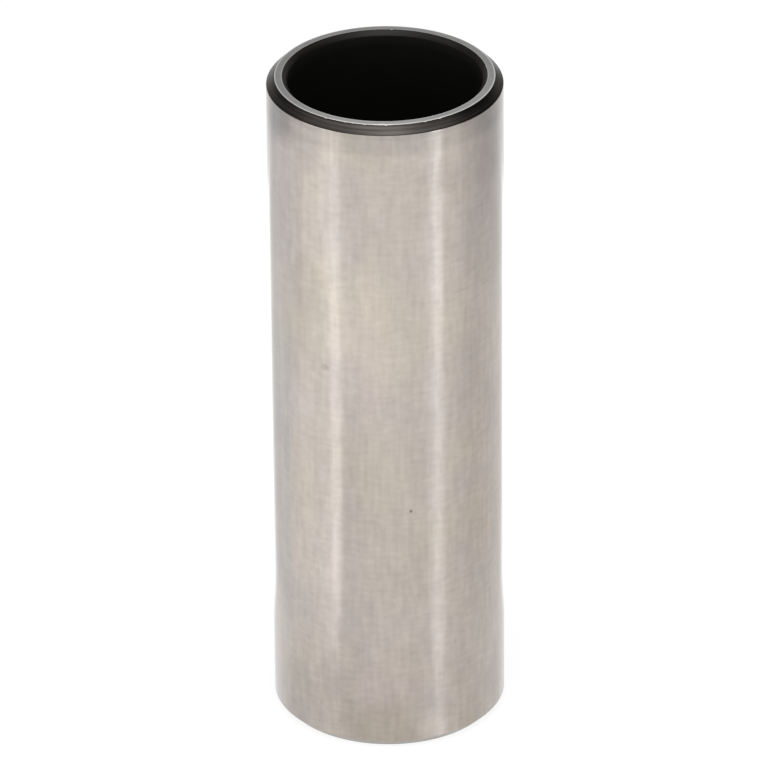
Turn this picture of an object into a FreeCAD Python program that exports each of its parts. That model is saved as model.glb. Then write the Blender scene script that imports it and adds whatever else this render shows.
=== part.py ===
"""Piston pin: a hollow steel pin, ground outside and chamfered at both ends.

The pin stands on one end: its axis is +Z and the origin is the centre of the lower end face.
It is one turned piece, so one half section revolved about the axis makes all of it. The section
has the ground outer wall, a 45 degree chamfer outside each end, the narrow flat end faces, a
smaller chamfer inside each end and the straight bore. Small radii then break the sharp edges.
"""

import FreeCAD
import Part
import Sketcher

import os

# Driving dimensions, in millimetres
SIZES = {
    "OuterDiameter": 20.0,
    "PinLength": 60.0,
    "WallThickness": 1.75,
    "OuterChamfer": 0.7,
    "InnerChamfer": 0.4,
    "LandEdgeRadius": 0.15,
    "RimEdgeRadius": 0.06,
}

# Two measures are the same edge when they agree this closely, in millimetres
MATCH = 1e-4


def make_sheet(doc):
    """The spreadsheet that holds the driving dimensions, one alias to a row."""
    sheet = doc.addObject("Spreadsheet::Sheet", "Sizes")
    for row, (alias, value) in enumerate(SIZES.items(), start=1):
        sheet.set(f"A{row}", alias)
        sheet.set(f"B{row}", str(value))
        sheet.setAlias(f"B{row}", alias)
    doc.recompute()
    return sheet


def origin_plane(body, role):
    """One of the body's own origin planes, such as XZ_Plane."""
    return next(feature for feature in body.Origin.OriginFeatures if feature.Role == role)


def add_size(sketch, name, constraint, formula):
    """Adds a named dimension to the sketch and binds it to the sheet."""
    index = sketch.addConstraint(constraint)
    sketch.renameConstraint(index, name)
    sketch.setExpression(f"Constraints.{name}", formula)


def draw_section(body, sheet):
    """The half section of the pin's wall, drawn in the XZ plane beside the axis."""
    sketch = body.newObject("Sketcher::SketchObject", "WallSection")
    sketch.AttachmentSupport = (origin_plane(body, "XZ_Plane"), "")
    sketch.MapMode = "FlatFace"

    outside = sheet.OuterDiameter / 2
    inside = outside - sheet.WallThickness
    outer_rim = outside - sheet.OuterChamfer
    inner_rim = inside + sheet.InnerChamfer
    top = sheet.PinLength
    corners = [
        (inner_rim, 0),
        (outer_rim, 0),
        (outside, sheet.OuterChamfer),
        (outside, top - sheet.OuterChamfer),
        (outer_rim, top),
        (inner_rim, top),
        (inside, top - sheet.InnerChamfer),
        (inside, sheet.InnerChamfer),
    ]
    points = [FreeCAD.Vector(x, y, 0) for x, y in corners]
    lines = [
        sketch.addGeometry(Part.LineSegment(start, end))
        for start, end in zip(points, points[1:] + points[:1])
    ]
    bottom_face, low_chamfer, outer_wall, high_chamfer = lines[:4]
    top_face, high_bevel, bore_wall, low_bevel = lines[4:]

    start, end, x_axis, origin = 1, 2, -1, -1
    for line, following in zip(lines, lines[1:] + lines[:1]):
        sketch.addConstraint(Sketcher.Constraint("Coincident", line, end, following, start))
    for line in (bottom_face, top_face):
        sketch.addConstraint(Sketcher.Constraint("Horizontal", line))
    for line in (outer_wall, bore_wall):
        sketch.addConstraint(Sketcher.Constraint("Vertical", line))
    sketch.addConstraint(Sketcher.Constraint("PointOnObject", bottom_face, start, x_axis))

    def across(name, first, first_end, second, second_end, size, formula):
        size_across = Sketcher.Constraint("DistanceX", first, first_end, second, second_end, size)
        add_size(sketch, name, size_across, formula)

    def along(name, first, first_end, second, second_end, size, formula):
        size_along = Sketcher.Constraint("DistanceY", first, first_end, second, second_end, size)
        add_size(sketch, name, size_along, formula)

    across("outer_radius", origin, start, outer_wall, start, outside, "Sizes.OuterDiameter / 2")
    across("wall", bore_wall, end, outer_wall, start, outside - inside, "Sizes.WallThickness")
    along("length", bottom_face, end, top_face, start, top, "Sizes.PinLength")
    chamfer, bevel = sheet.OuterChamfer, sheet.InnerChamfer
    across("low_chamfer_depth", low_chamfer, start, low_chamfer, end, chamfer, "Sizes.OuterChamfer")
    along("low_chamfer_rise", low_chamfer, start, low_chamfer, end, chamfer, "Sizes.OuterChamfer")
    across("high_chamfer_depth", high_chamfer, end, high_chamfer, start, chamfer, "Sizes.OuterChamfer")
    along("high_chamfer_rise", high_chamfer, start, high_chamfer, end, chamfer, "Sizes.OuterChamfer")
    across("low_bevel_depth", low_bevel, start, low_bevel, end, bevel, "Sizes.InnerChamfer")
    along("low_bevel_rise", low_bevel, end, low_bevel, start, bevel, "Sizes.InnerChamfer")
    across("high_bevel_depth", high_bevel, end, high_bevel, start, bevel, "Sizes.InnerChamfer")
    along("high_bevel_rise", high_bevel, end, high_bevel, start, bevel, "Sizes.InnerChamfer")
    return sketch


def ring_edges(shape, radius, heights):
    """Names of the shape's circular edges with this radius, at any of these heights."""
    names = []
    for number, edge in enumerate(shape.Edges, start=1):
        if not isinstance(edge.Curve, Part.Circle):
            continue
        at_height = any(abs(edge.Curve.Center.z - height) < MATCH for height in heights)
        if at_height and abs(edge.Curve.Radius - radius) < MATCH:
            names.append(f"Edge{number}")
    return names


def break_edges(body, name, edges, formula):
    """Rounds the named edges of the body's last feature with a radius from the sheet."""
    base = body.Tip
    fillet = body.newObject("PartDesign::Fillet", name)
    fillet.Base = (base, edges)
    fillet.setExpression("Radius", formula)
    return fillet


def make_pin(doc, sheet):
    """The pin: its section turned about the axis, then the sharp edges broken."""
    body = doc.addObject("PartDesign::Body", "PistonPin")
    body.Label = "piston_pin"
    section = draw_section(body, sheet)
    turned = body.newObject("PartDesign::Revolution", "TurnedPin")
    turned.Profile = section
    turned.ReferenceAxis = (section, ["V_Axis"])
    turned.Angle = 360
    section.Visibility = False
    doc.recompute()

    outside = sheet.OuterDiameter / 2
    inside = outside - sheet.WallThickness
    top = sheet.PinLength
    chamfer_starts = (sheet.OuterChamfer, top - sheet.OuterChamfer)
    land_edges = ring_edges(turned.Shape, outside, chamfer_starts)
    break_edges(body, "LandEdges", land_edges, "Sizes.LandEdgeRadius")
    doc.recompute()

    rims = ring_edges(body.Shape, outside - sheet.OuterChamfer, (0, top))
    rims += ring_edges(body.Shape, inside + sheet.InnerChamfer, (0, top))
    break_edges(body, "RimEdges", rims, "Sizes.RimEdgeRadius")
    doc.recompute()
    return body


def check(doc, sub_parts):
    """Stops the build if a feature failed or a sub-part has no valid shape."""
    for item in doc.Objects:
        if {"Invalid", "Error"} & set(item.State):
            raise RuntimeError(f"{item.Label} failed: {item.State}")
    for sub_part in sub_parts:
        shape = sub_part.Shape
        if shape.isNull() or not shape.isValid() or len(shape.Solids) != 1:
            raise RuntimeError(f"{sub_part.Label} isn't one valid solid")


def main():
    """Builds the document and writes each sub-part's STEP file."""
    doc = FreeCAD.newDocument("PistonPinModel")
    sheet = make_sheet(doc)
    sub_parts = [make_pin(doc, sheet)]
    doc.recompute()
    check(doc, sub_parts)
    os.makedirs("parts", exist_ok=True)
    for sub_part in sub_parts:
        sub_part.Shape.exportStep(f"parts/{sub_part.Label}.step")
        box = sub_part.Shape.optimalBoundingBox()
        print(f"{sub_part.Label}: {sub_part.Shape.Volume:.3f} mm3, {box}")


main()
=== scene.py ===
"""Dresses the piston pin and sets up its picture.

The pin is one turned piece of hardened steel that stands on its end. Its outer wall and its end
faces are ground bright. The upper outer chamfer is nearly black, and both inner chamfers and the
bore keep the dark skin of the heat treatment. The pin's section is turned once round its axis,
the edges of its end faces get the small nicks of handling, and each zone of the surface gets its
own finish. A pale studio stands round it.
"""

import logging
import math
import random
from abc import ABC, abstractmethod
from dataclasses import dataclass
from enum import Enum
from typing import Any, Callable, Union

import bmesh
import bpy
from mathutils import Matrix, Vector

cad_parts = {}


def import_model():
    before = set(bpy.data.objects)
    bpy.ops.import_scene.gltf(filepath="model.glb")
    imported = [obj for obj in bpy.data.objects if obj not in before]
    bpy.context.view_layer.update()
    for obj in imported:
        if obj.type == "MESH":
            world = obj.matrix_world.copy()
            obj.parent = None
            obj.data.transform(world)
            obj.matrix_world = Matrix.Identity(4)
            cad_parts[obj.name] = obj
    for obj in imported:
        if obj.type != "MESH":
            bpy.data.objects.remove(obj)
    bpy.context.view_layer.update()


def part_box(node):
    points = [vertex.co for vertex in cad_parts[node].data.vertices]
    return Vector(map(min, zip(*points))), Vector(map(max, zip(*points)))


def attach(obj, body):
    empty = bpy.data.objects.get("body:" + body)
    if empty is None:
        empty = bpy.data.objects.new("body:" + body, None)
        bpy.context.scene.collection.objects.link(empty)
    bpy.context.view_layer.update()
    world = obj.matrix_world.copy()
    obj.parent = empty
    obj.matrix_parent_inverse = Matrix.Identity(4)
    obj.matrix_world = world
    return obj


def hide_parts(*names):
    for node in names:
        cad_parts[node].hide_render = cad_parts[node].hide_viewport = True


LOG = logging.getLogger("piston_pin")

Colour = tuple[float, float, float]
Point = tuple[float, float, float]
Socket = bpy.types.NodeSocket
Source = Union[float, tuple[float, ...], Socket]

NODE = "piston_pin"
BODY = "root"
MM = 0.001


class Zone(Enum):
    """The parts of the pin's surface that differ in finish. The value is the material's index."""

    OUTER_WALL = 0
    END_FACE = 1
    OUTER_CHAMFER = 2
    FOOT_CHAMFER = 3
    INNER_CHAMFER = 4
    BORE = 5


def compass(azimuth: float, elevation: float) -> Vector:
    """The direction from the pin to a place in the studio.

    Args:
        azimuth: Degrees from the camera's side, to the right.
        elevation: Degrees above the floor.

    Returns:
        A vector of length one.
    """
    turn, rise = math.radians(azimuth), math.radians(elevation)
    return Vector(
        (math.sin(turn) * math.cos(rise), -math.cos(turn) * math.cos(rise), math.sin(rise))
    )


@dataclass(frozen=True)
class PinSizes:
    """The pin's section, in metres.

    Attributes:
        outer_radius: Radius of the ground outer wall.
        length: The pin's length.
        wall: Thickness of the wall.
        outer_chamfer: Width and depth of the chamfer outside each end.
        inner_chamfer: Width and depth of the chamfer inside each end.
        land_radius: Radius where the outer wall meets the outer chamfer.
        rim_radius: Radius of the section's other edges.
    """

    outer_radius: float
    length: float
    wall: float = 1.75 * MM
    outer_chamfer: float = 0.7 * MM
    inner_chamfer: float = 0.4 * MM
    land_radius: float = 0.15 * MM
    rim_radius: float = 0.06 * MM

    @classmethod
    def of_node(cls, node: str) -> "PinSizes":
        """Sizes with the outer radius and the length of a node of the frame."""
        low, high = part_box(node)
        return cls(outer_radius=(high.y - low.y) / 2, length=high.z - low.z)

    @property
    def bore_radius(self) -> float:
        """Radius of the bore."""
        return self.outer_radius - self.wall

    @property
    def outer_rim(self) -> float:
        """Radius of an end face's outer edge."""
        return self.outer_radius - self.outer_chamfer

    @property
    def inner_rim(self) -> float:
        """Radius of an end face's inner edge."""
        return self.bore_radius + self.inner_chamfer

    def on_wall(self, azimuth: float, height: float) -> Point:
        """A point of the outer wall, at an azimuth and at a height over the foot."""
        side = compass(azimuth, 0.0) * self.outer_radius
        return (side.x, side.y, height)

    def on_top(self, azimuth: float, radius: float) -> Point:
        """A point of the upper end face, at an azimuth and at a distance from the axis."""
        side = compass(azimuth, 0.0) * radius
        return (side.x, side.y, self.length)


@dataclass(frozen=True)
class NodeBench:
    """Adds nodes to one node tree and joins their sockets.

    Attributes:
        tree: The tree that the nodes go into.
    """

    tree: bpy.types.NodeTree

    @classmethod
    def on_new(cls, name: str) -> tuple["NodeBench", bpy.types.Material]:
        """Makes a material with an empty tree.

        Args:
            name: The material's name.

        Returns:
            The tree's bench, and the material.
        """
        made = bpy.data.materials.new(name)
        made.use_nodes = True
        made.node_tree.nodes.clear()
        return cls(made.node_tree), made

    def add(self, kind: str, **settings: Any) -> bpy.types.Node:
        """Adds a node and sets its properties.

        Args:
            kind: The node's type, such as ShaderNodeMath.
            settings: The node's properties and their values.

        Returns:
            The new node.
        """
        node = self.tree.nodes.new(kind)
        for name, value in settings.items():
            setattr(node, name, value)
        return node

    def feed(self, socket: Socket, source: Source) -> None:
        """Joins an input to another node's output, or sets it to a value.

        Args:
            socket: The input.
            source: An output socket, or the value.
        """
        if isinstance(source, Socket):
            self.tree.links.new(source, socket)
        else:
            socket.default_value = source

    def math(self, operation: str, first: Source, second: Source = 0.0) -> Socket:
        """Adds a Math node.

        Args:
            operation: What the node works out, such as ADD.
            first: The first input.
            second: The second input.

        Returns:
            The node's output.
        """
        node = self.add("ShaderNodeMath", operation=operation)
        self.feed(node.inputs[0], first)
        self.feed(node.inputs[1], second)
        return node.outputs[0]

    def vector(self, operation: str, first: Source, second: Source = (0.0, 0.0, 0.0)) -> Socket:
        """Adds a Vector Math node.

        Args:
            operation: What the node works out, such as SUBTRACT.
            first: The first input.
            second: The second input.

        Returns:
            The node's output, which is a number for LENGTH.
        """
        node = self.add("ShaderNodeVectorMath", operation=operation)
        self.feed(node.inputs[0], first)
        self.feed(node.inputs[1], second)
        return node.outputs["Value" if operation == "LENGTH" else "Vector"]

    def ramp(self, value: Source, start: float, end: float) -> Socket:
        """Adds a smooth step.

        Args:
            value: What is stepped.
            start: Where the step is 0.
            end: Where it is 1.

        Returns:
            The node's output.
        """
        node = self.add("ShaderNodeMapRange", interpolation_type="SMOOTHSTEP")
        self.feed(node.inputs["Value"], value)
        self.feed(node.inputs["From Min"], start)
        self.feed(node.inputs["From Max"], end)
        return node.outputs[0]

    def blend(
        self,
        share: Source,
        first: Union[Colour, Socket],
        second: Union[Colour, Socket],
        way: str = "MIX",
    ) -> Socket:
        """Mixes two colours.

        Args:
            share: How much of the second colour shows, from 0 to 1.
            first: The colour at 0.
            second: The colour at 1.
            way: How they mix, such as MULTIPLY.

        Returns:
            The mixed colour.
        """
        node = self.add("ShaderNodeMix", data_type="RGBA", blend_type=way)
        self.feed(node.inputs["Factor"], share)
        inputs = [socket for socket in node.inputs if socket.type == "RGBA"]
        for socket, colour in zip(inputs, (first, second)):
            self.feed(socket, colour if isinstance(colour, Socket) else (*colour, 1.0))
        return next(socket for socket in node.outputs if socket.type == "RGBA")

    def mix_shaders(self, share: Source, first: Socket, second: Socket) -> Socket:
        """Mixes two shaders.

        Args:
            share: How much of the second shader shows, from 0 to 1.
            first: The shader at 0.
            second: The shader at 1.

        Returns:
            The mixed shader.
        """
        node = self.add("ShaderNodeMixShader")
        for socket, source in zip(node.inputs, (share, first, second)):
            self.feed(socket, source)
        return node.outputs[0]

    def show(self, shader: Socket) -> None:
        """Makes a shader the material's surface."""
        output = self.add("ShaderNodeOutputMaterial")
        self.feed(output.inputs["Surface"], shader)


@dataclass(frozen=True)
class PinPlace:
    """Where a point of the surface lies, as sockets that every pattern reads.

    Attributes:
        point: The point in the pin's own coordinates, in metres.
        radius: Its distance from the pin's axis.
        height: Its height over the foot.
    """

    point: Socket
    radius: Socket
    height: Socket

    @classmethod
    def on(cls, bench: NodeBench) -> "PinPlace":
        """Adds the nodes that read the place.

        Args:
            bench: The tree's bench.

        Returns:
            The place.
        """
        point = bench.add("ShaderNodeTexCoord").outputs["Object"]
        apart = bench.add("ShaderNodeSeparateXYZ")
        bench.feed(apart.inputs[0], point)
        flat = bench.vector("MULTIPLY", point, (1.0, 1.0, 0.0))
        return cls(point, bench.vector("LENGTH", flat), apart.outputs["Z"])


class Pattern(ABC):
    """Something that moves a value of a finish up and down over the surface."""

    @abstractmethod
    def sway(self, bench: NodeBench, place: PinPlace) -> Socket:
        """Adds the pattern's nodes.

        Args:
            bench: The tree's bench.
            place: Where the surface's point lies.

        Returns:
            How far the value moves.
        """


@dataclass(frozen=True)
class Grain(Pattern):
    """A noise that is finer in some directions than in others, such as grinding lines.

    Attributes:
        across: Repeats a metre in X and Y.
        along: Repeats a metre in Z, and outwards from the axis.
        strength: How far the pattern moves a value up and down.
        detail: Octaves of finer noise on top.
        seed: Moves the pattern, so that two grains of one size differ.
    """

    across: float
    along: float
    strength: float
    detail: float = 2.0
    seed: float = 0.0

    def sway(self, bench: NodeBench, place: PinPlace) -> Socket:
        """Adds the grain's nodes.

        Args:
            bench: The tree's bench.
            place: Where the surface's point lies.

        Returns:
            How far the value moves.
        """
        scaled = bench.vector("MULTIPLY", place.point, (self.across, self.across, self.along))
        outwards = bench.math("MULTIPLY_ADD", place.radius, self.along)
        bench.feed(outwards.node.inputs[2], self.seed)
        noise = bench.add("ShaderNodeTexNoise", noise_dimensions="4D")
        bench.feed(noise.inputs["Vector"], scaled)
        bench.feed(noise.inputs["W"], outwards)
        bench.feed(noise.inputs["Scale"], 1.0)
        bench.feed(noise.inputs["Detail"], self.detail)
        noise_middle = 0.5
        centred = bench.math("SUBTRACT", noise.outputs[0], noise_middle)
        return bench.math("MULTIPLY", centred, self.strength)


@dataclass(frozen=True)
class EdgeWearAndPaintedLight(Pattern):
    """A line along an edge that runs round the pin: painted highlight where it brightens, painted shade
    where it darkens, partly rubbed wear on the end face's outer edge.

    Attributes:
        radius: The edge's radius.
        width: How far the line reaches to each side.
        strength: How far it moves the value at the edge.
    """

    radius: float
    width: float
    strength: float

    def sway(self, bench: NodeBench, place: PinPlace) -> Socket:
        """Adds the line's nodes."""
        aside = bench.math("ABSOLUTE", bench.math("SUBTRACT", place.radius, self.radius))
        return bench.math("MULTIPLY", bench.ramp(aside, self.width, 0.0), self.strength)


@dataclass(frozen=True)
class PaintedFootShade(Pattern):
    """Painted shade: the colour darkens slowly down the pin, for the darker floor near the foot that the
    steel mirrors.

    Attributes:
        low: Height below which the painted shade is full.
        high: Height above which there is none.
        strength: How far it moves the value down.
    """

    low: float
    high: float
    strength: float

    def sway(self, bench: NodeBench, place: PinPlace) -> Socket:
        """Adds the painted shade's nodes."""
        return bench.math("MULTIPLY", bench.ramp(place.height, self.high, self.low), -self.strength)


@dataclass(frozen=True)
class StainAndPaintedLight:
    """A soft cloud on the surface that tints the colour under it. Many are stains; the rest are painted
    light, such as the painted glints and highlights on the end face and the painted light at the bore's
    mouth.

    Attributes:
        middle: Its middle, in the pin's coordinates.
        reach: How far it goes sideways, and up and down.
        tint: What multiplies the colour in its middle.
        core: Share of its reach over which it is full.
        fray: How far noise moves its edge, as a share of its reach.
        seed: Seed of that noise.
    """

    middle: Point
    reach: tuple[float, float]
    tint: Colour
    core: float = 0.25
    fray: float = 0.9
    seed: float = 0.0

    def lay(self, bench: NodeBench, place: PinPlace, colour: Socket) -> Socket:
        """Lays the stain over a colour.

        Args:
            bench: The tree's bench.
            place: Where the surface's point lies.
            colour: The colour under the stain.

        Returns:
            The stained colour.
        """
        sideways, upwards = self.reach
        away = bench.vector("SUBTRACT", place.point, self.middle)
        scaled = bench.vector("DIVIDE", away, (sideways, sideways, upwards))
        distance = bench.vector("LENGTH", scaled)
        if self.fray:
            lobes_across, lobes_along = 260.0, 240.0
            edge = Grain(lobes_across, lobes_along, strength=self.fray, seed=self.seed)
            distance = bench.math("ADD", distance, edge.sway(bench, place))
        return bench.blend(bench.ramp(distance, 1.0, self.core), colour, self.tint, "MULTIPLY")


def swayed(
    bench: NodeBench, place: PinPlace, base: float, patterns: tuple[Pattern, ...]
) -> Source:
    """A value that patterns move up and down.

    Args:
        bench: The tree's bench.
        place: Where the surface's point lies.
        base: The value without the patterns.
        patterns: The patterns that move it.

    Returns:
        The value's socket, or the plain value where there are no patterns.
    """
    total: Source = base
    for pattern in patterns:
        total = bench.math("ADD", pattern.sway(bench, place), total)
    return total


@dataclass(frozen=True)
class Finish:
    """How one zone of the pin's surface is made.

    Attributes:
        name: The material's name.
        dull: The colour where the pattern is lowest.
        bright: The colour where the pattern is highest.
        level: Where between the two the plain surface lies, from 0 to 1.
        metallic: 1 for bare steel, 0 for the dark skin on it.
        roughness: The middle roughness.
        specular: The specular level of what isn't bare steel.
        stretch: How far the grinding lines stretch a highlight across them, from 0 to 1.
        oil: How much of a thin film of oil covers it, from 0 to 1.
        tones: Patterns that move the colour between dull and bright.
        cast: What multiplies the colour where the hue pattern is highest.
        hues: Patterns that lay the cast on.
        wear: Patterns that move the roughness.
        stains_and_painted_light: The clouds on it, stains and painted light.
    """

    name: str
    dull: Colour
    bright: Colour
    metallic: float
    roughness: float
    level: float = 0.5
    specular: float = 0.5
    stretch: float = 0.0
    oil: float = 0.0
    tones: tuple[Pattern, ...] = ()
    cast: Colour = (1.0, 1.0, 1.0)
    hues: tuple[Pattern, ...] = ()
    wear: tuple[Pattern, ...] = ()
    stains_and_painted_light: tuple[StainAndPaintedLight, ...] = ()

    def material(self) -> bpy.types.Material:
        """Makes the finish's material.

        Returns:
            The material.
        """
        bench, made = NodeBench.on_new(self.name)
        shader = bench.add("ShaderNodeBsdfPrincipled")
        place = PinPlace.on(bench)
        colour = bench.blend(swayed(bench, place, self.level, self.tones), self.dull, self.bright)
        if self.hues:
            middle_hue = 0.5
            share = swayed(bench, place, middle_hue, self.hues)
            colour = bench.blend(share, colour, self.cast, "MULTIPLY")
        for stain in self.stains_and_painted_light:
            colour = stain.lay(bench, place, colour)
        bench.feed(shader.inputs["Base Color"], colour)
        bench.feed(shader.inputs["Roughness"], swayed(bench, place, self.roughness, self.wear))
        shader.inputs["Metallic"].default_value = self.metallic
        shader.inputs["Specular IOR Level"].default_value = self.specular
        if self.oil:
            film_roughness = 0.12
            shader.inputs["Coat Weight"].default_value = self.oil
            shader.inputs["Coat Roughness"].default_value = film_roughness
        if self.stretch:
            self.comb(bench, shader)
        bench.show(shader.outputs[0])
        return made

    def comb(self, bench: NodeBench, shader: bpy.types.Node) -> None:
        """Stretches the shader's highlights across the lines that run round the pin.

        Args:
            bench: The tree's bench.
            shader: The Principled node.
        """
        round_the_axis = bench.add("ShaderNodeTangent", direction_type="RADIAL", axis="Z")
        bench.feed(shader.inputs["Tangent"], round_the_axis.outputs["Tangent"])
        quarter_turn = 0.25
        shader.inputs["Anisotropic"].default_value = self.stretch
        shader.inputs["Anisotropic Rotation"].default_value = quarter_turn


@dataclass(frozen=True)
class Mark:
    """A cloud on the outer wall that tints its colour, with its lengths in millimetres.

    Attributes:
        azimuth: Degrees from the camera's side, to the right.
        height: Height over the foot.
        wide: How far it goes sideways.
        tall: How far it goes up and down.
        tint: What multiplies the colour in its middle.
        fray: How far noise moves its edge, as a share of its reach.
        seed: Seed of that noise.
    """

    azimuth: float
    height: float
    wide: float
    tall: float
    tint: Colour
    fray: float = 0.9
    seed: float = 0.0

    def on(self, sizes: PinSizes) -> StainAndPaintedLight:
        """The mark on a pin of these sizes."""
        middle = sizes.on_wall(self.azimuth, self.height * MM)
        return StainAndPaintedLight(middle, (self.wide * MM, self.tall * MM), self.tint, fray=self.fray, seed=self.seed)


WALL_MARKS: tuple[Mark, ...] = (
    # Lighter, darker and tinted clouds
    Mark(-69, 57.9, 4.4, 2.5, (0.64, 0.64, 0.65), seed=4),
    Mark(-80, 57.8, 3.8, 3.6, (0.70, 0.70, 0.71), seed=16),
    Mark(-52, 59.5, 6.0, 1.3, (0.87, 0.87, 0.88), seed=17),
    Mark(-40.5, 56.6, 1.9, 3.4, (0.84, 0.84, 0.86), seed=5),
    Mark(64, 55.4, 3.7, 4.5, (0.74, 0.75, 0.765), seed=6),
    Mark(68, 58.6, 4.2, 2.6, (0.68, 0.69, 0.70), seed=7),
    Mark(76, 51, 4.6, 13, (0.80, 0.80, 0.80), seed=14),
    Mark(-76, 52, 2.4, 11, (0.88, 0.88, 0.88), seed=15),
    Mark(26, 54.8, 3.2, 2.8, (0.90, 0.90, 0.91), seed=18),
    Mark(-32, 16, 2.6, 8.0, (1.09, 1.09, 1.10), seed=19),
    Mark(-1, 6.5, 9.0, 6.0, (1.0, 0.985, 0.96), seed=20),
    Mark(-9, 39.5, 3.6, 9.5, (1.11, 1.10, 1.075), seed=21),
    Mark(-42, 43.5, 2.4, 5.5, (0.90, 0.90, 0.90), seed=22),
    Mark(68, 4.5, 2.3, 4.5, (0.86, 0.84, 0.85), seed=24),
    Mark(-24, 52, 3.0, 8.0, (0.975, 0.985, 1.03), seed=25),
    Mark(-28, 24, 3.0, 6.0, (0.98, 0.985, 1.02), seed=26),
    Mark(54, 25, 3.2, 10.0, (1.07, 1.06, 1.03), seed=27),
    Mark(-68, 8.5, 2.4, 6.0, (1.08, 1.08, 1.07), seed=28),
    Mark(-30, 7.0, 1.8, 3.0, (0.90, 0.90, 0.92), seed=29),
    Mark(24, 1.8, 2.0, 2.6, (1.10, 1.10, 1.09), seed=30),
    Mark(-66, 38, 3.1, 45, (0.91, 0.93, 0.965), seed=8),
    Mark(-40, 2.0, 6.5, 8.0, (0.88, 0.88, 0.875), seed=9),
    Mark(-2, 1.0, 5.0, 6.5, (0.85, 0.84, 0.79), seed=10),
    Mark(42, 3.4, 3.4, 6.0, (0.93, 0.92, 0.89), seed=13),
    Mark(-18, 42, 3.2, 10, (1.07, 1.07, 1.08), seed=12),
    # A dull spot and a pit
    Mark(-31.7, 36.7, 0.5, 0.4, (0.8, 0.8, 0.8)),
    Mark(11.1, 23.4, 0.2, 0.22, (0.4, 0.38, 0.36), fray=0.0),
    # Fine scratches
    Mark(53, 50.7, 1.2, 0.22, (0.90, 0.90, 0.90), fray=0.0),
    Mark(48, 43.6, 2.8, 0.20, (0.93, 0.93, 0.93), fray=0.0),
    Mark(57, 43.2, 1.4, 0.20, (0.92, 0.92, 0.92), fray=0.0),
    Mark(50, 51.8, 0.6, 0.18, (0.92, 0.92, 0.92), fray=0.0),
    Mark(38, 51.9, 0.5, 0.18, (0.92, 0.92, 0.92), fray=0.0),
    Mark(55.7, 53.8, 0.6, 0.2, (0.92, 0.92, 0.92), fray=0.0),
    Mark(34.3, 9.7, 0.1, 0.6, (0.84, 0.83, 0.83), fray=0.0),
)


def ground_wall(sizes: PinSizes) -> Finish:
    """The outer wall: finely ground, with short strokes both ways, lighter and darker clouds, and
    painted shade that darkens it towards the foot.

    Args:
        sizes: The pin's sizes.

    Returns:
        The finish.
    """
    top = sizes.length
    all_round = 1.0
    return Finish(
        name="ground_wall",
        dull=(0.41, 0.366, 0.312),
        bright=(0.68, 0.606, 0.517),
        metallic=1.0,
        roughness=0.26,
        stretch=1.0,
        oil=0.8,
        tones=(
            Grain(across=900, along=2400, strength=0.46, seed=3.0),
            Grain(across=2100, along=330, strength=0.60, seed=11.0),
            Grain(across=700, along=650, strength=0.30, seed=53.0),
            Grain(across=150, along=110, strength=0.30, seed=23.0),
            # Painted shade: darker towards the foot.
            PaintedFootShade(low=5 * MM, high=50 * MM, strength=0.20),
        ),
        cast=(0.95, 0.945, 1.04),
        hues=(Grain(across=140, along=110, strength=2.2, seed=71.0),),
        wear=(Grain(across=200, along=150, strength=0.06, seed=31.0),),
        stains_and_painted_light=(
            # A darker band all round just under the upper rim.
            StainAndPaintedLight((0.0, 0.0, top), (all_round, 3.0 * MM), (0.86, 0.87, 0.88), core=0.7, fray=0.2),
            StainAndPaintedLight((0.0, 0.0, top), (all_round, 1.3 * MM), (0.94, 0.94, 0.94), core=0.8, fray=0.1),
            *(mark.on(sizes) for mark in WALL_MARKS),
        ),
    )


def faced_ring(sizes: PinSizes) -> Finish:
    """The flat end faces: ground a little duller, with painted highlights along both edges, partly
    rubbed wear, and painted glints.

    Args:
        sizes: The pin's sizes.

    Returns:
        The finish.
    """
    top = sizes.length
    glint = (0.14 * MM, 0.14 * MM)
    past_rim, arc_reach = sizes.outer_rim + 2.6 * MM, (2.86 * MM, 2.86 * MM)
    return Finish(
        name="faced_ring",
        dull=(0.190, 0.188, 0.187),
        bright=(0.93, 0.92, 0.90),
        level=0.09,
        metallic=1.0,
        roughness=0.36,
        tones=(
            Grain(across=900, along=5200, strength=0.12, seed=5.0),
            Grain(across=2400, along=2400, strength=0.08, seed=6.0),
            # Painted highlights along both edges of the face; on the outer edge partly rubbed wear.
            EdgeWearAndPaintedLight(radius=sizes.outer_rim, width=0.15 * MM, strength=0.55),
            EdgeWearAndPaintedLight(radius=sizes.inner_rim, width=0.13 * MM, strength=0.26),
        ),
        wear=(Grain(across=700, along=900, strength=0.12, seed=7.0),),
        stains_and_painted_light=(
            # Darker to the left, behind on the right, and to the right.
            StainAndPaintedLight(sizes.on_wall(-110, top), (14 * MM, 9 * MM), (0.80, 0.795, 0.80), fray=0.3),
            StainAndPaintedLight(sizes.on_wall(150, top), (12 * MM, 9 * MM), (0.84, 0.835, 0.84), fray=0.3),
            StainAndPaintedLight(sizes.on_wall(90, top), (6 * MM, 9 * MM), (0.90, 0.90, 0.90), fray=0.3),
            # Painted highlights: a brighter front, painted glints on the outer edge at the front and on
            # the right, and on the inner edge.
            StainAndPaintedLight(sizes.on_wall(-6, top), (8 * MM, 9 * MM), (1.22, 1.21, 1.19), fray=0.3),
            StainAndPaintedLight(sizes.on_top(-1.6, past_rim), arc_reach, (1.6, 1.58, 1.56), core=0.93, fray=0.0),
            StainAndPaintedLight(sizes.on_top(31.0, past_rim), arc_reach, (1.2, 1.19, 1.18), core=0.93, fray=0.0),
            *(
                StainAndPaintedLight(sizes.on_top(azimuth, sizes.inner_rim), glint, (1.7, 1.7, 1.7), fray=0.0)
                for azimuth in (27.1, 100.0, 175.9)
            ),
        ),
    )


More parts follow.
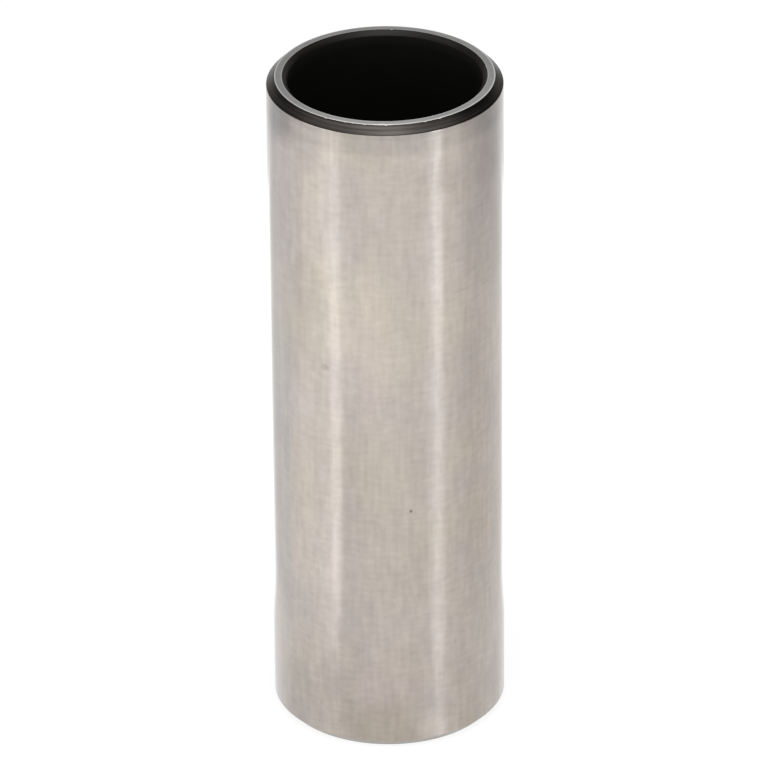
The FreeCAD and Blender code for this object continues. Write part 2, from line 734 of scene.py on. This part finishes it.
def dark_chamfer(sizes: PinSizes) -> Finish:
    """The upper outer chamfer: nearly black, with fine turning lines and painted shade along both its
    edges.

    Args:
        sizes: The pin's sizes.

    Returns:
        The finish.
    """
    return Finish(
        name="dark_chamfer",
        dull=(0.034, 0.0300, 0.0275),
        bright=(0.080, 0.0720, 0.0660),
        metallic=1.0,
        roughness=0.34,
        tones=(
            Grain(across=120, along=4200, strength=2.6, detail=1.0, seed=13.0),
            Grain(across=500, along=500, strength=0.5, seed=17.0),
            # Painted shade along the chamfer's upper and lower edges.
            EdgeWearAndPaintedLight(radius=sizes.outer_rim + 0.06 * MM, width=0.09 * MM, strength=-1.2),
            EdgeWearAndPaintedLight(radius=sizes.outer_radius - 0.05 * MM, width=0.11 * MM, strength=-0.5),
        ),
        wear=(Grain(across=300, along=4000, strength=0.1, seed=19.0),),
    )


def bright_foot_chamfer(sizes: PinSizes) -> Finish:
    """The lower outer chamfer, which is bare steel, with a painted highlight along its edge with the
    wall.

    Args:
        sizes: The pin's sizes.

    Returns:
        The finish.
    """
    return Finish(
        name="bright_foot_chamfer",
        dull=(0.315, 0.289, 0.266),
        bright=(0.49, 0.455, 0.420),
        metallic=1.0,
        roughness=0.36,
        tones=(
            Grain(across=300, along=3000, strength=0.8, seed=43.0),
            # Painted highlight along the edge with the wall.
            EdgeWearAndPaintedLight(radius=sizes.outer_radius, width=0.1 * MM, strength=0.3),
        ),
    )


def dark_inner_chamfer(sizes: PinSizes) -> Finish:
    """The inner chamfers: dark skin, a little browner than the bore, with painted shade that darkens it
    towards both its edges, most towards the bore.

    Args:
        sizes: The pin's sizes.

    Returns:
        The finish.
    """
    return Finish(
        name="dark_inner_chamfer",
        dull=(0.0035, 0.0029, 0.0022),
        bright=(0.018, 0.0150, 0.0105),
        level=0.6,
        metallic=0.0,
        roughness=0.40,
        specular=0.17,
        tones=(
            Grain(across=200, along=4200, strength=1.2, detail=1.0, seed=29.0),
            # Painted shade towards the ring and towards the bore.
            EdgeWearAndPaintedLight(radius=sizes.inner_rim, width=0.11 * MM, strength=-0.6),
            EdgeWearAndPaintedLight(radius=sizes.bore_radius, width=0.22 * MM, strength=-0.8),
        ),
    )


def black_bore(sizes: PinSizes) -> Finish:
    """The bore: nearly black skin, with painted light that makes it a shade paler near its mouth.

    Args:
        sizes: The pin's sizes.

    Returns:
        The finish.
    """
    all_round = 1.0
    return Finish(
        name="black_bore",
        dull=(0.0024, 0.0023, 0.0018),
        bright=(0.0058, 0.0056, 0.0046),
        metallic=0.0,
        roughness=0.55,
        specular=0.13,
        tones=(Grain(across=250, along=1500, strength=0.8, seed=37.0),),
        stains_and_painted_light=(
            # Painted light: paler near the bore's mouth, where light reaches in.
            StainAndPaintedLight((0.0, 0.0, sizes.length), (all_round, 1.6 * MM), (2.2, 2.2, 2.2), fray=0.1),
        ),
    )


FINISHES: dict[Zone, Callable[[PinSizes], Finish]] = {
    Zone.OUTER_WALL: ground_wall,
    Zone.END_FACE: faced_ring,
    Zone.OUTER_CHAMFER: dark_chamfer,
    Zone.FOOT_CHAMFER: bright_foot_chamfer,
    Zone.INNER_CHAMFER: dark_inner_chamfer,
    Zone.BORE: black_bore,
}


@dataclass(frozen=True)
class Nick:
    """A small dent in an edge of an end face.

    Attributes:
        azimuth: Where it is, in degrees from the camera's side, to the right.
        radius: The edge's radius.
        reach: How far it reaches along the edge.
        depth: How deep it is.
    """

    azimuth: float
    radius: float
    reach: float
    depth: float

    def press(self, verts: list[bmesh.types.BMVert], height: float, inwards: float) -> None:
        """Presses the nick into the vertices near it.

        Args:
            verts: The vertices near the end face.
            height: The end face's height.
            inwards: 1 if the pin lies above the face, and -1 if it lies below.
        """
        middle = compass(self.azimuth, 0.0) * self.radius
        middle.z = height
        for vert in verts:
            nearness = 1.0 - (vert.co - middle).length / self.reach
            if nearness > 0.0:
                smooth = nearness * nearness * (3.0 - 2.0 * nearness)
                vert.co.z += inwards * self.depth * smooth


@dataclass(frozen=True)
class TurnedPin:
    """The pin's mesh.

    Attributes:
        sizes: The pin's sizes.
        turn_steps: Faces round the pin.
        arc_steps: Faces across each small radius.
        wall_rings: Rings that part the long walls.
        end_step: Width of the faces on the end faces and the chamfers.
        outer_nicks: Azimuths of the nicks that show on the upper face's outer edge.
        inner_nicks: Azimuths of the nicks that show on its inner edge.
        chance_nicks: Nicks at random places on each end.
        nick_reach: The longest reach of a nick.
        nick_depth: The greatest depth of a nick.
        nick_seed: Seed of the random nicks.
    """

    sizes: PinSizes
    turn_steps: int = 768
    arc_steps: int = 4
    wall_rings: int = 3
    end_step: float = 0.09 * MM
    outer_nicks: tuple[float, ...] = (-31.7, -10.4, 0.5, 20.7, 29.0)
    inner_nicks: tuple[float, ...] = (100.0, 175.9)
    chance_nicks: int = 12
    nick_reach: float = 0.22 * MM
    nick_depth: float = 0.05 * MM
    nick_seed: int = 5

    def build(self) -> bpy.types.Object:
        """Turns the section round the axis and dresses the result.

        Returns:
            The finished pin.
        """
        shape = bmesh.new()
        self.draw_section(shape)
        self.round_corners(shape)
        self.part_lines(shape)
        self.turn(shape)
        self.mark_zones(shape)
        self.nick_rims(shape)
        mesh = bpy.data.meshes.new("turned_pin")
        normals = self.smooth_normals(shape)
        shape.to_mesh(mesh)
        shape.free()
        mesh.normals_split_custom_set_from_vertices(normals)
        for zone in Zone:
            mesh.materials.append(FINISHES[zone](self.sizes).material())
        pin = bpy.data.objects.new("turned_pin", mesh)
        bpy.context.scene.collection.objects.link(pin)
        return pin

    def draw_section(self, shape: bmesh.types.BMesh) -> None:
        """Draws half of the pin's wall section, one corner at a time.

        Args:
            shape: The empty mesh that takes it.
        """
        sizes, top = self.sizes, self.sizes.length
        corners = [
            (sizes.inner_rim, 0.0),
            (sizes.outer_rim, 0.0),
            (sizes.outer_radius, sizes.outer_chamfer),
            (sizes.outer_radius, top - sizes.outer_chamfer),
            (sizes.outer_rim, top),
            (sizes.inner_rim, top),
            (sizes.bore_radius, top - sizes.inner_chamfer),
            (sizes.bore_radius, sizes.inner_chamfer),
        ]
        shape.faces.new([shape.verts.new((radius, 0.0, height)) for radius, height in corners])

    def round_corners(self, shape: bmesh.types.BMesh) -> None:
        """Rounds the section's corners and leaves its outline alone.

        Args:
            shape: The mesh with the section as one face.
        """
        half_turn = math.radians(45.0 / 2)
        inside_wall = self.sizes.outer_radius - self.sizes.land_radius
        land_corners = [vert for vert in shape.verts if vert.co.x > inside_wall]
        rim_corners = [vert for vert in shape.verts if vert.co.x <= inside_wall]
        for corners, radius in (
            (land_corners, self.sizes.land_radius),
            (rim_corners, self.sizes.rim_radius),
        ):
            bmesh.ops.bevel(
                shape, geom=corners, offset=radius * math.tan(half_turn), offset_type="OFFSET",
                segments=self.arc_steps, profile=0.5, affect="VERTICES", material=-1,
            )
        bmesh.ops.delete(shape, geom=list(shape.faces), context="FACES_ONLY")

    def part_lines(self, shape: bmesh.types.BMesh) -> None:
        """Parts the outline's straight lines, finely where the nicks go.

        Args:
            shape: The mesh with the outline.
        """
        for edge in list(shape.edges):
            length = edge.calc_length()
            is_wall = length > self.sizes.length / 2
            cuts = self.wall_rings if is_wall else round(length / self.end_step) - 1
            if cuts > 0:
                bmesh.ops.subdivide_edges(shape, edges=[edge], cuts=cuts)

    def turn(self, shape: bmesh.types.BMesh) -> None:
        """Turns the outline once round the pin's axis.

        Args:
            shape: The mesh with the outline.
        """
        bmesh.ops.spin(
            shape, geom=[*shape.verts, *shape.edges], cent=(0.0, 0.0, 0.0), axis=(0.0, 0.0, 1.0),
            angle=math.tau, steps=self.turn_steps, use_merge=True,
        )
        same_place = self.sizes.rim_radius / 100
        bmesh.ops.remove_doubles(shape, verts=shape.verts, dist=same_place)
        bmesh.ops.recalc_face_normals(shape, faces=shape.faces)

    def mark_zones(self, shape: bmesh.types.BMesh) -> None:
        """Gives each face the material of its zone.

        Args:
            shape: The turned mesh.
        """
        for face in shape.faces:
            face.smooth = True
            face.material_index = self.zone_of(face).value

    def zone_of(self, face: bmesh.types.BMFace) -> Zone:
        """The zone that a face lies in, by the way it faces.

        The outer rim's radius counts mostly as end face, and the inner rim's as chamfer.

        Args:
            face: A face of the turned mesh.

        Returns:
            Its zone.
        """
        centre = face.calc_center_median()
        slope = math.degrees(math.asin(min(1.0, abs(face.normal.z))))
        faces_out = centre.x * face.normal.x + centre.y * face.normal.y > 0.0
        bore_limit, wall_limit = 21.0, 20.0
        end_limit = 56.0 if faces_out else 80.0
        if slope > end_limit:
            return Zone.END_FACE
        if not faces_out:
            return Zone.BORE if slope < bore_limit else Zone.INNER_CHAMFER
        if slope < wall_limit:
            return Zone.OUTER_WALL
        return Zone.OUTER_CHAMFER if centre.z > self.sizes.length / 2 else Zone.FOOT_CHAMFER

    def nick_rims(self, shape: bmesh.types.BMesh) -> None:
        """Presses the seen nicks and some random ones into the edges of both end faces.

        Args:
            shape: The turned mesh.
        """
        chance = random.Random(self.nick_seed)
        for height, inwards in ((0.0, 1.0), (self.sizes.length, -1.0)):
            near = [v for v in shape.verts if abs(v.co.z - height) < self.nick_reach]
            for nick in self.nicks(chance, with_seen=height > 0.0):
                nick.press(near, height, inwards)
        shape.normal_update()

    def nicks(self, chance: random.Random, with_seen: bool) -> list[Nick]:
        """The nicks of one end face.

        Args:
            chance: Where the random sizes and places come from.
            with_seen: Whether the seen nicks are on this end.

        Returns:
            The nicks.
        """
        found = []
        if with_seen:
            seen = [(azimuth, self.sizes.outer_rim) for azimuth in self.outer_nicks]
            seen += [(azimuth, self.sizes.inner_rim) for azimuth in self.inner_nicks]
            for azimuth, radius in seen:
                found.append(Nick(azimuth, radius, self.nick_reach, self.nick_depth))
        reach_shares, depth_shares, full_turn = (0.4, 0.8), (0.2, 0.5), 360.0
        for _ in range(self.chance_nicks):
            radius = chance.choice((self.sizes.outer_rim, self.sizes.inner_rim))
            reach = self.nick_reach * chance.uniform(*reach_shares)
            depth = self.nick_depth * chance.uniform(*depth_shares)
            found.append(Nick(chance.uniform(0.0, full_turn), radius, reach, depth))
        return found

    @staticmethod
    def smooth_normals(shape: bmesh.types.BMesh) -> list[Vector]:
        """A normal for each vertex in which wide faces count most, so that flats look flat.

        Args:
            shape: The turned mesh.

        Returns:
            The normals, in the order of the vertices.
        """
        areas = {face: face.calc_area() for face in shape.faces}
        return [
            sum((face.normal * areas[face] for face in vert.link_faces), Vector()).normalized()
            for vert in shape.verts
        ]


@dataclass(frozen=True)
class Softbox:
    """A rectangular lamp that faces the middle of the pin.

    Attributes:
        name: The lamp's name.
        azimuth: Where it stands, in degrees from the camera's side, to the right.
        elevation: Its height over the pin's middle, in degrees.
        distance: Its distance from the pin's middle, in metres.
        width: Its size from side to side, in metres.
        height: Its size up and down, in metres.
        brightness: How bright its face looks, where 1 is white.
        tint: Its colour.
    """

    name: str
    azimuth: float
    elevation: float
    distance: float
    width: float
    height: float
    brightness: float
    tint: Colour = (1.0, 1.0, 1.0)

    def place(self, target: Vector) -> None:
        """Adds the lamp to the scene.

        Args:
            target: The point that it faces.
        """
        light = bpy.data.lights.new(self.name, "AREA")
        light.shape = "RECTANGLE"
        light.size = self.width
        light.size_y = self.height
        light.color = self.tint
        power_of_white = 4.0
        light.energy = self.brightness * power_of_white * self.width * self.height
        lamp = bpy.data.objects.new(self.name, light)
        towards = compass(self.azimuth, self.elevation)
        lamp.location = target + towards * self.distance
        lamp.rotation_euler = (-towards).to_track_quat("-Z", "Y").to_euler()
        lamp.visible_camera = False
        bpy.context.scene.collection.objects.link(lamp)


@dataclass(frozen=True)
class Card:
    """A card beside the pin, flat on the table or upright, that only reflections show.

    Attributes:
        name: The card's name.
        azimuth: Where it is, in degrees from the camera's side, to the right.
        near: Distance of its near edge from the pin's axis, in metres.
        far: Distance of its far edge.
        width: Width of its far edge.
        tone: How it looks in a reflection, where 1 is white.
        taper: Width of its near edge, as a share of the far edge's.
        foot: Height of its near edge.
        head: Height of its far edge.
        aside: How far its middle line passes beside the axis, so that it lies under the rays that
            a strip of the outer wall mirrors.
        side_fade: Share of its width over which each side fades out, up to 0.5.
        end_fade: The same for its near and its far edge.
    """

    name: str
    azimuth: float
    near: float
    far: float
    width: float
    tone: Colour
    taper: float = 1.0
    foot: float = 0.5 * MM
    head: float = 0.5 * MM
    aside: float = 0.0
    side_fade: float = 0.5
    end_fade: float = 0.2

    def place(self) -> None:
        """Adds the card to the scene."""
        sheet = bmesh.new()
        uv_name = sheet.loops.layers.uv.new("across_and_along").name
        rows, half = 24, 0.5
        bmesh.ops.create_grid(sheet, x_segments=2, y_segments=rows, size=half, calc_uvs=True)
        for vert in sheet.verts:
            vert.co.x *= self.taper + (1.0 - self.taper) * (vert.co.y + half)
        towards, up = compass(self.azimuth, 0.0), Vector((0.0, 0.0, 1.0))
        sideways = up.cross(towards)
        along = towards * (self.far - self.near) + up * (self.head - self.foot)
        middle = towards * (self.near + self.far) / 2 + up * (self.foot + self.head) / 2
        middle += sideways * self.aside
        turned = Matrix((sideways * self.width, along, sideways.cross(along).normalized()))
        bmesh.ops.transform(
            sheet,
            matrix=Matrix.Translation(middle) @ turned.transposed().to_4x4(),
            verts=sheet.verts,
        )
        mesh = bpy.data.meshes.new(self.name)
        sheet.to_mesh(mesh)
        sheet.free()
        mesh.materials.append(self.material(uv_name))
        card = bpy.data.objects.new(self.name, mesh)
        card.visible_camera = False
        card.visible_diffuse = False
        card.visible_transmission = False
        card.visible_shadow = False
        bpy.context.scene.collection.objects.link(card)

    def material(self, uv_name: str) -> bpy.types.Material:
        """Makes the card's tone, which fades out at its edges.

        Args:
            uv_name: The name of the card's UV map.

        Returns:
            The material.
        """
        bench, made = NodeBench.on_new(self.name)
        spread = bench.add("ShaderNodeUVMap", uv_map=uv_name)
        apart = bench.add("ShaderNodeSeparateXYZ")
        bench.feed(apart.inputs[0], spread.outputs["UV"])
        half = 0.5
        across = bench.ramp(bench.math("PINGPONG", apart.outputs["X"], half), 0.0, self.side_fade)
        along = bench.ramp(bench.math("PINGPONG", apart.outputs["Y"], half), 0.0, self.end_fade)
        clear = bench.add("ShaderNodeBsdfTransparent")
        glow = bench.add("ShaderNodeEmission")
        bench.feed(glow.inputs["Color"], (*self.tone, 1.0))
        cover = bench.math("MULTIPLY", across, along)
        bench.show(bench.mix_shaders(cover, clear.outputs[0], glow.outputs[0]))
        return made


@dataclass(frozen=True)
class Viewpoint:
    """The camera, from where the pin's middle shows in the photograph.

    Attributes:
        elevation: How far down the camera looks, in degrees.
        roll: How far it leans, in degrees.
        distance: From the pin's middle, in metres, along the line of sight.
        focal_pixels: The focal length, in the frame's pixels.
        frame_pixels: The frame's width and height.
        middle_pixel: Where the pin's middle shows.
        sensor_mm: Width of the sensor.
    """

    elevation: float = 28.577
    roll: float = -0.483
    distance: float = 0.73948
    focal_pixels: float = 8625.3
    frame_pixels: float = 768.0
    middle_pixel: tuple[float, float] = (387.31, 388.09)
    sensor_mm: float = 36.0

    def place(self, middle: Vector) -> None:
        """Adds the camera and makes it the scene's.

        Args:
            middle: The pin's middle.
        """
        back = compass(0.0, self.elevation)
        level = Vector((1.0, 0.0, 0.0))
        upright = back.cross(level)
        lean = math.radians(self.roll)
        right = level * math.cos(lean) + upright * math.sin(lean)
        up = upright * math.cos(lean) - level * math.sin(lean)
        centre = self.frame_pixels / 2
        metres_per_pixel = self.distance / self.focal_pixels
        aside = (self.middle_pixel[0] - centre) * metres_per_pixel
        below = (self.middle_pixel[1] - centre) * metres_per_pixel

        lens = bpy.data.cameras.new("studio_camera")
        lens.sensor_width = self.sensor_mm
        lens.lens = self.focal_pixels * self.sensor_mm / self.frame_pixels
        clip_span = 100
        lens.clip_start = self.distance / clip_span
        lens.clip_end = self.distance * clip_span
        camera = bpy.data.objects.new("studio_camera", lens)
        turned = Matrix((right, up, back)).transposed().to_4x4()
        eye = middle + back * self.distance - right * aside + up * below
        camera.matrix_world = Matrix.Translation(eye) @ turned
        bpy.context.scene.collection.objects.link(camera)
        bpy.context.scene.camera = camera


@dataclass(frozen=True)
class FloorLook:
    """What one kind of ray sees of the floor.

    Attributes:
        lit: The share that light and shadow change.
        glow: The share that stays.
    """

    lit: float
    glow: float

    def shader(self, bench: NodeBench) -> Socket:
        """Adds the look's nodes.

        Args:
            bench: The tree's bench.

        Returns:
            The shader's socket.
        """
        shaded = bench.add("ShaderNodeBsdfDiffuse")
        bench.feed(shaded.inputs["Color"], (self.lit, self.lit, self.lit, 1.0))
        glow = bench.add("ShaderNodeEmission")
        bench.feed(glow.inputs["Strength"], self.glow)
        both = bench.add("ShaderNodeAddShader")
        bench.feed(both.inputs[0], shaded.outputs[0])
        bench.feed(both.inputs[1], glow.outputs[0])
        return both.outputs[0]


@dataclass(frozen=True)
class Studio:
    """The pale floor, the world, the lamps and the cards.

    Attributes:
        floor_half: Half of the floor's side, in metres.
        floor_body: The floor as it sends light back to the object.
        floor_mirrored: The floor as the steel reflects it.
        floor_seen: The floor as the camera sees it, white but for the pin's shadow.
        world_level: Strength of the world's light on the object.
        lamps: The softboxes.
        cards: The white, grey and black cards.
    """

    floor_half: float = 3.0
    floor_body: FloorLook = FloorLook(lit=0.8, glow=0.0)
    floor_mirrored: FloorLook = FloorLook(lit=0.3, glow=0.72)
    floor_seen: FloorLook = FloorLook(lit=0.2, glow=0.86)
    world_level: float = 0.55
    lamps: tuple[Softbox, ...] = (
        Softbox("left_softbox", -55.0, 14.0, 0.42, 0.09, 0.24, 1.25),
        Softbox("left_fill", -70.0, 14.0, 0.42, 0.17, 0.24, 1.08),
        Softbox("right_strip", 48.2, 14.0, 0.42, 0.065, 0.24, 2.6, (0.83, 0.91, 1.0)),
        Softbox("top_softbox", 0.0, 70.0, 0.45, 0.26, 0.36, 2.2),
    )
    cards: tuple[Card, ...] = (
        Card(
            "white_strip_left", azimuth=-52.0, near=0.029, far=0.135, width=0.028,
            tone=(1.62, 1.63, 1.64), taper=0.22, aside=4.36 * MM, side_fade=0.2, end_fade=0.08,
        ),
        Card(
            "white_sheet_left", azimuth=-96.0, near=0.024, far=0.085, width=0.060,
            tone=(1.20, 1.20, 1.18), taper=0.3, aside=7.2 * MM,
        ),
        Card(
            "grey_sheet_left", azimuth=-145.0, near=0.014, far=0.130, width=0.060,
            tone=(0.82, 0.82, 0.83), taper=0.25, foot=0.4 * MM, head=0.4 * MM,
            aside=9.54 * MM, side_fade=0.4,
        ),
        Card(
            "white_sheet_behind", azimuth=180.0, near=0.011, far=0.098, width=0.110,
            tone=(1.6, 1.6, 1.6), taper=0.37, foot=0.6 * MM, head=0.6 * MM,
            side_fade=0.12, end_fade=0.1,
        ),
        Card(
            "white_strip_right", azimuth=47.9, near=0.0105, far=0.160, width=0.072,
            tone=(1.25, 1.27, 1.30), taper=0.03, aside=-4.06 * MM, end_fade=0.14,
        ),
        Card(
            "grey_sheet_right", azimuth=113.0, near=0.014, far=0.130, width=0.130,
            tone=(0.87, 0.86, 0.845), side_fade=0.4,
        ),
        Card(
            "black_flag_right", azimuth=105.0, near=0.130, far=0.130, width=0.216,
            tone=(0.05, 0.05, 0.05), foot=0.001, head=0.240, side_fade=0.25,
        ),
        Card(
            "grey_flag_behind", azimuth=146.0, near=0.140, far=0.140, width=0.080,
            tone=(0.28, 0.28, 0.28), foot=0.030, head=0.110, side_fade=0.3,
        ),
        Card(
            "grey_flag_left", azimuth=-128.0, near=0.140, far=0.140, width=0.220,
            tone=(0.20, 0.20, 0.21), foot=0.050, head=0.220, side_fade=0.25,
        ),
    )

    def build(self, middle: Vector) -> None:
        """Adds everything round the pin.

        Args:
            middle: The pin's middle, which the lamps face.
        """
        self.lay_floor()
        self.fill_world()
        for card in self.cards:
            card.place()
        for lamp in self.lamps:
            lamp.place(middle)
            LOG.info("lamp %s stands at %.0f degrees", lamp.name, lamp.azimuth)

    def lay_floor(self) -> None:
        """Adds the floor that the pin stands on."""
        sheet = bmesh.new()
        bmesh.ops.create_grid(sheet, x_segments=1, y_segments=1, size=self.floor_half)
        mesh = bpy.data.meshes.new("floor")
        sheet.to_mesh(mesh)
        sheet.free()
        mesh.materials.append(self.floor_material())
        floor = bpy.data.objects.new("floor", mesh)
        bpy.context.scene.collection.objects.link(floor)

    def floor_material(self) -> bpy.types.Material:
        """Makes the floor, with a look of its own for each kind of ray.

        Returns:
            The material.
        """
        bench, made = NodeBench.on_new("studio_floor")
        path = bench.add("ShaderNodeLightPath")
        body, mirrored, seen = (
            look.shader(bench) for look in (self.floor_body, self.floor_mirrored, self.floor_seen)
        )
        reflected = bench.mix_shaders(path.outputs["Is Glossy Ray"], body, mirrored)
        straight = bench.math(
            "MAXIMUM", path.outputs["Is Camera Ray"], path.outputs["Is Transmission Ray"]
        )
        bench.show(bench.mix_shaders(straight, reflected, seen))
        return made

    def fill_world(self) -> None:
        """Makes the world white where it is seen, and a plain soft light elsewhere."""
        world = bpy.data.worlds.new("studio_world")
        bpy.context.scene.world = world
        world.use_nodes = True
        bench = NodeBench(world.node_tree)
        path = bench.add("ShaderNodeLightPath")
        background = world.node_tree.nodes["Background"]
        bench.feed(background.inputs["Color"], (1.0, 1.0, 1.0, 1.0))
        straight = bench.math(
            "MAXIMUM", path.outputs["Is Camera Ray"], path.outputs["Is Transmission Ray"]
        )
        seen = bench.math("MAXIMUM", straight, path.outputs["Is Glossy Ray"])
        rise = bench.math("MULTIPLY", seen, 1.0 - self.world_level)
        bench.feed(background.inputs["Strength"], bench.math("ADD", rise, self.world_level))


def main() -> None:
    """Builds the pin and its studio in the frame."""
    logging.basicConfig(level=logging.INFO, format="%(name)s: %(message)s")
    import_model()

    sizes = PinSizes.of_node(NODE)
    pin = TurnedPin(sizes).build()
    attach(pin, BODY)
    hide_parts(NODE)
    LOG.info("%s has %d faces", pin.name, len(pin.data.polygons))

    middle = Vector((0.0, 0.0, sizes.length / 2))
    Studio().build(middle)
    Viewpoint().place(middle)
    bpy.context.scene.view_settings.view_transform = "Standard"


if __name__ == "__main__":
    main()
